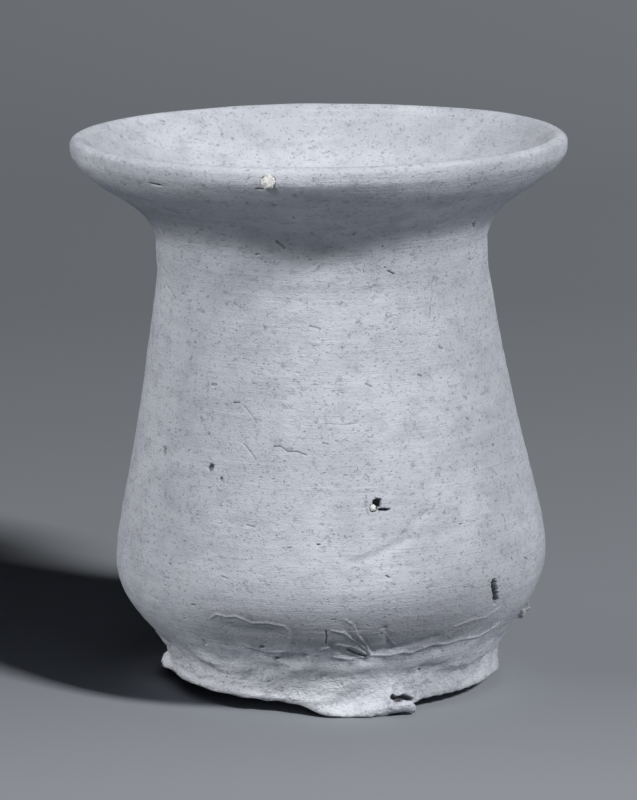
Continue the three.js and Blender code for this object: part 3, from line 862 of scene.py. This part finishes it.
def fired_grain_group():
    """Speckle and fine grain of fired clay and stone: dark specks, pale specks and their relief."""
    tree = bpy.data.node_groups.new("fired_grain", "ShaderNodeTree")
    tree.interface.new_socket("Vector", in_out="INPUT", socket_type="NodeSocketVector")
    size = tree.interface.new_socket("Grain", in_out="INPUT", socket_type="NodeSocketFloat")
    size.default_value = 1.0
    for name in ("Dark", "Pale", "Height"):
        tree.interface.new_socket(name, in_out="OUTPUT", socket_type="NodeSocketFloat")
    entry = add_node(tree, "NodeGroupInput")
    leave = add_node(tree, "NodeGroupOutput")
    scaled = add_node(tree, "ShaderNodeVectorMath", operation="SCALE")
    wire(tree, scaled.inputs[0], entry.outputs["Vector"])
    wire(tree, scaled.inputs["Scale"], entry.outputs["Grain"])
    vector = scaled.outputs[0]
    fine = stretched_noise(tree, vector, *GRAIN_FINE)
    coarse = stretched_noise(tree, vector, *GRAIN_COARSE)
    dark = ranged(tree, stretched_noise(tree, vector, *GRAIN_DARK), *GRAIN_DARK_SHOWS)
    pale = ranged(tree, stretched_noise(tree, vector, *GRAIN_PALE), *GRAIN_PALE_SHOWS)
    height = summed(tree, (fine, GRAIN_RELIEF["fine"]), (coarse, GRAIN_RELIEF["coarse"]),
                    (dark, GRAIN_RELIEF["dark"]), (pale, GRAIN_RELIEF["pale"]))
    wire(tree, leave.inputs["Dark"], dark)
    wire(tree, leave.inputs["Pale"], pale)
    wire(tree, leave.inputs["Height"], height)
    return tree


GRAIN_GROUP = fired_grain_group()


def grain_node(tree, vector, fineness):
    """The speckle group in a material, with its own fineness."""
    made = add_node(tree, "ShaderNodeGroup", node_tree=GRAIN_GROUP)
    wire(tree, made.inputs["Vector"], vector)
    made.inputs["Grain"].default_value = fineness
    return made


def new_material(name, specular):
    """A fresh matt material and its Principled shader."""
    material = bpy.data.materials.new(name)
    material.use_nodes = True
    shader = material.node_tree.nodes["Principled BSDF"]
    shader.inputs["Specular IOR Level"].default_value = specular
    shader.inputs["Metallic"].default_value = 0.0
    return material, shader


def bump_into(tree, shader, height, depth):
    """Bumps a shader's surface by a height pattern, with its depth in millimetres."""
    bump = add_node(tree, "ShaderNodeBump")
    wire(tree, bump.inputs["Height"], height)
    bump.inputs["Distance"].default_value = depth * MM
    bump.inputs["Strength"].default_value = 1.0
    wire(tree, shader.inputs["Normal"], bump.outputs["Normal"])


# The clay: each noise as its scale along each axis, detail, roughness and distortion, and the values
# over which it shows
CLAY_PATTERNS = {
    "clouds": {"noise": ((0.045, 0.045, 0.06), 4, 0.6), "shows": (0.3, 0.7)},
    "patches": {"noise": ((0.22, 0.22, 0.3), 4, 0.6), "shows": (0.42, 0.72)},
    "wipes": {"noise": ((0.045, 0.045, 1.15), 5, 0.62, 0.15), "shows": (0.5, 0.78)},
    "lines": {"noise": ((0.09, 0.09, 4.2), 4, 0.6, 0.1), "shows": (0.52, 0.78)},
    "specks": {"noise": ((0.8, 0.8, 1.0), 4, 0.68), "shows": (0.58, 0.73)},
    "blotches": {"noise": ((0.62, 0.62, 0.85), 3, 0.7), "shows": (0.56, 0.7)},
}
FOOT_CRUMBS = ((0.7, 0.7, 0.85), 4, 0.65)

# The darker band over the foot, partly a stain and partly painted shade where the wall turns in
# under the belly, and the paler foot under it. Heights and places across the jar, in millimetres,
# run from where each shows nothing to where it shows in full
LEVEL_WANDER = 7.0
STAIN_SHADE_BOTTOM = (11.0, 15.0)
STAIN_SHADE_TOP = (28.0, 18.0)
STAIN_SHADE_LEFT = (-31.0, -15.0)
STAIN_SHADE_RIGHT = (38.0, 20.0)
PALE_FOOT_TOP = (12.0, 7.0)
PALE_FOOT_RIGHT = (16.0, -2.0)
CRUMBS_TOP = (10.0, 4.0)

# Colours of the clay: its two greys, then each mark's most share and colour, from the lowest layer up
CLAY_GREYS = ((174, 177, 185), (192, 195, 203))
CLAY_TINTS = (
    ("patches", 0.55, (160, 163, 172)),
    ("wipes", 0.3, (205, 208, 215)),
    ("lines", 0.2, (150, 153, 162)),
    # Partly a stain, partly painted shade where the wall turns in under the belly
    ("stain_and_shade", 0.62, (128, 130, 138)),
    ("pale_foot", 0.6, (212, 214, 220)),
    ("specks", 0.36, (112, 114, 121)),
    ("blotches", 0.5, (122, 124, 132)),
    ("dark_grain", 0.44, (100, 101, 108)),
    ("pale_grain", 0.45, (226, 228, 232)),
    # Painted shade in the pits, grooves and seats, darker the deeper the cut
    ("hollow", 0.72, (62, 62, 68)),
)
CLAY_RELIEF = {"wipes": 0.45, "lines": 0.3, "grain": 1.0, "crumbs": 3.0, "specks": -0.35}
CLAY_ROUGHNESS = (0.3, 0.7, 0.82, 0.95)  # patches from 0.3 to 0.7 bring it from 0.82 to 0.95
CLAY_SPECULAR = 0.22
CLAY_BUMP = 0.22


def clay_material():
    """Light grey fired clay: cloudy, drawn out in level turning lines, speckled and open-pored. Its cuts
    and the band under the belly carry painted shade.
    """
    material, shader = new_material("straw_tempered_clay", CLAY_SPECULAR)
    tree = material.node_tree
    vector = millimetres(tree)
    grain = grain_node(tree, vector, 1.0)
    noises, masks = {}, {}
    for name, pattern in CLAY_PATTERNS.items():
        noises[name] = stretched_noise(tree, vector, *pattern["noise"])
        masks[name] = ranged(tree, noises[name], *pattern["shows"])

    parts = add_node(tree, "ShaderNodeSeparateXYZ")
    wire(tree, parts.inputs[0], vector)
    across = parts.outputs["X"]
    wander = maths(tree, "MULTIPLY", maths(tree, "SUBTRACT", noises["patches"], 0.5), LEVEL_WANDER)
    level = maths(tree, "ADD", parts.outputs["Z"], wander)
    band = maths(tree, "MULTIPLY", ranged(tree, level, *STAIN_SHADE_BOTTOM), ranged(tree, level, *STAIN_SHADE_TOP))
    front = maths(tree, "MULTIPLY", ranged(tree, across, *STAIN_SHADE_LEFT), ranged(tree, across, *STAIN_SHADE_RIGHT))
    masks["stain_and_shade"] = maths(tree, "MULTIPLY", band, front)
    masks["pale_foot"] = maths(tree, "MULTIPLY", ranged(tree, level, *PALE_FOOT_TOP), ranged(tree, across, *PALE_FOOT_RIGHT))
    masks["dark_grain"] = grain.outputs["Dark"]
    masks["pale_grain"] = grain.outputs["Pale"]
    masks["hollow"] = add_node(tree, "ShaderNodeAttribute", attribute_name="hollow").outputs["Fac"]

    dim, bright = CLAY_GREYS
    colour = blended(tree, masks["clouds"], srgb(*dim), srgb(*bright))
    for name, share, tint in CLAY_TINTS:
        colour = blended(tree, maths(tree, "MULTIPLY", masks[name], share), colour, srgb(*tint))
    wire(tree, shader.inputs["Base Color"], colour)
    wire(tree, shader.inputs["Roughness"], ranged(tree, noises["patches"], *CLAY_ROUGHNESS))

    crumbs = stretched_noise(tree, vector, *FOOT_CRUMBS)
    crumbs = maths(tree, "MULTIPLY", ranged(tree, level, *CRUMBS_TOP), crumbs)
    height = summed(tree, (noises["wipes"], CLAY_RELIEF["wipes"]), (noises["lines"], CLAY_RELIEF["lines"]),
                    (grain.outputs["Height"], CLAY_RELIEF["grain"]), (crumbs, CLAY_RELIEF["crumbs"]),
                    (masks["specks"], CLAY_RELIEF["specks"]))
    bump_into(tree, shader, height, CLAY_BUMP)
    return material


# Stones: their two tones, how fine their speckle is, how rough they are and how they shine
STONES = {
    "burnt_lime": {"tones": ((206, 206, 203), (228, 228, 225)), "fineness": 2.2, "roughness": 0.86,
                   "specular": 0.2},
    "grey_grit": {"tones": ((128, 130, 134), (176, 178, 182)), "fineness": 1.8, "roughness": 0.72,
                  "specular": 0.35},
}
STONE_CLOUDS = ((1.1, 1.1, 1.3), 3)
STONE_CLOUDS_SHOW = (0.35, 0.65)
STONE_GLOSS_RANGE = (0.3, 0.7)
STONE_GLOSS_SPREAD = 0.06
STONE_SPECK_SHARE = 0.6
STONE_SPECKS = (96, 96, 100)
STONE_BUMP = 0.14


def stone_material(name, stone):
    """Broken stone: chalky for lime, darker and glassier for grit."""
    material, shader = new_material(name, stone["specular"])
    tree = material.node_tree
    vector = millimetres(tree)
    grain = grain_node(tree, vector, stone["fineness"])
    clouds = stretched_noise(tree, vector, *STONE_CLOUDS)
    dim, bright = stone["tones"]
    colour = blended(tree, ranged(tree, clouds, *STONE_CLOUDS_SHOW), srgb(*dim), srgb(*bright))
    specks = maths(tree, "MULTIPLY", grain.outputs["Dark"], STONE_SPECK_SHARE)
    colour = blended(tree, specks, colour, srgb(*STONE_SPECKS))
    wire(tree, shader.inputs["Base Color"], colour)
    least, most = stone["roughness"] - STONE_GLOSS_SPREAD, stone["roughness"] + STONE_GLOSS_SPREAD
    wire(tree, shader.inputs["Roughness"], ranged(tree, clouds, *STONE_GLOSS_RANGE, least, most))
    bump_into(tree, shader, grain.outputs["Height"], STONE_BUMP)
    return material


def paint(piece, material):
    piece.data.materials.clear()
    piece.data.materials.append(material)


def make_body(clay):
    body = spin_body()
    dashes = GROOVES + straw_voids()
    for margin in REFINE_MARGINS:
        refine(body, dashes, margin)
    carve(body, dashes)
    bpy.ops.object.shade_smooth()
    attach(body, "root")
    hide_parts("pot_body")
    paint(body, clay)


def make_grains():
    materials = {name: stone_material(name, stone) for name, stone in STONES.items()}
    for kind in GRAINS:
        make_grain(kind, materials[kind["stone"]])


# Tones of the floor from in front of the jar to far behind it, as distance back in millimetres and
# level from 0 to 255. They paint the studio's uneven light onto the grey paper: paler in front, a
# painted shade along the jar's own row, darker behind it and paler again far back
FLOOR_PAPER_AND_LIGHT = [(-200, 176), (-75, 175), (0, 152), (55, 158), (145, 155), (255, 150), (400, 146),
               (600, 153), (850, 169), (1300, 195)]
FLOOR_TINT = (-4, 0, 6)
FLOOR_SIZE = 9.0  # in metres
FLOOR_ROUGHNESS = 0.9
FLOOR_SPECULAR = 0.1
LAMP_DISTANCE = 3.0  # in metres, as the lamps' sizes are
KEY_LAMP = {"bearing": 51, "rise": 38, "size": 0.42, "level": 0.96}
FILL_LAMP = {"bearing": -50, "rise": 37, "size": 0.5, "level": 0.77}
AMBIENT_LEVELS = (37, 39, 43)
BACKDROP_LEVELS = (112, 116, 122)


def make_floor():
    """A plain grey floor that darkens a little behind the jar, with the studio's uneven light and a shade
    at the jar painted into its tones.
    """
    deselect()
    bpy.ops.mesh.primitive_plane_add(size=FLOOR_SIZE)
    floor = bpy.context.object
    floor.name = "studio_floor"
    material, shader = new_material("matt_paper_and_painted_light", FLOOR_SPECULAR)
    tree = material.node_tree
    parts = add_node(tree, "ShaderNodeSeparateXYZ")
    wire(tree, parts.inputs[0], millimetres(tree))
    first, last = FLOOR_PAPER_AND_LIGHT[0][0], FLOOR_PAPER_AND_LIGHT[-1][0]
    back = add_node(tree, "ShaderNodeMapRange")
    wire(tree, back.inputs["Value"], parts.outputs["Y"])
    back.inputs["From Min"].default_value = first
    back.inputs["From Max"].default_value = last
    tones = add_node(tree, "ShaderNodeValToRGB")
    wire(tree, tones.inputs["Fac"], back.outputs["Result"])
    ramp = tones.color_ramp
    while len(ramp.elements) < len(FLOOR_PAPER_AND_LIGHT):
        ramp.elements.new(0.5)
    # Each tone is the paper's grey with painted light and shade
    for element, (distance, level) in zip(ramp.elements, FLOOR_PAPER_AND_LIGHT):
        element.position = (distance - first) / (last - first)
        element.color = srgb(*(level + shift for shift in FLOOR_TINT))
    wire(tree, shader.inputs["Base Color"], tones.outputs["Color"])
    shader.inputs["Roughness"].default_value = FLOOR_ROUGHNESS
    paint(floor, material)
    floor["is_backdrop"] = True


def aim(place, target):
    """The turn that points a lamp or a camera from one place to another."""
    return (Vector(target) - Vector(place)).to_track_quat("-Z", "Y").to_euler()


def add_lamp(name, bearing, rise, size, level):
    """A square soft lamp, aimed at the jar. level is how brightly it lights a face turned to it."""
    turn, up = math.radians(bearing), math.radians(rise)
    away = Vector((math.sin(turn) * math.cos(up), -math.cos(turn) * math.cos(up), math.sin(up)))
    middle = Vector((0.0, 0.0, HEIGHT * 0.5 * MM))
    place = away * LAMP_DISTANCE + middle
    bpy.ops.object.light_add(type="AREA", location=place, rotation=aim(place, middle))
    lamp = bpy.context.object
    lamp.name = name
    lamp.data.shape = "SQUARE"
    lamp.data.size = size
    lamp.data.energy = level * math.pi**2 * LAMP_DISTANCE**2
    return lamp


def make_studio():
    make_floor()
    add_lamp("key_lamp", **KEY_LAMP)
    fill = add_lamp("fill_lamp", **FILL_LAMP)
    # The fill is kept off the floor, so that the jar's own shadow there stays dark
    lit = bpy.data.collections.new("lit_by_fill")
    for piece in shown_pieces():
        lit.objects.link(piece)
    fill.light_linking.receiver_collection = lit
    world = bpy.data.worlds.new("studio")
    world.use_nodes = True
    tree = world.node_tree
    background = tree.nodes["Background"]
    seen = add_node(tree, "ShaderNodeLightPath")
    wire(tree, background.inputs["Color"],
         blended(tree, seen.outputs["Is Camera Ray"], srgb(*AMBIENT_LEVELS), srgb(*BACKDROP_LEVELS)))
    background.inputs["Strength"].default_value = 1.0
    bpy.context.scene.world = world
    bpy.context.scene.view_settings.view_transform = "Standard"


def make_camera():
    rise = math.radians(CAMERA_RISE)
    target = Vector(CAMERA_TARGET) * MM
    place = target + Vector((0, -math.cos(rise), math.sin(rise))) * CAMERA_DISTANCE * MM
    bpy.ops.object.camera_add(location=place, rotation=aim(place, target))
    camera = bpy.context.object
    camera.data.sensor_fit = "HORIZONTAL"
    camera.data.sensor_width = CAMERA_SENSOR
    camera.data.lens = CAMERA_LENS
    camera.data.clip_start = CAMERA_CLIP
    bpy.context.scene.camera = camera


make_camera()
make_body(clay_material())
make_grains()
make_studio()
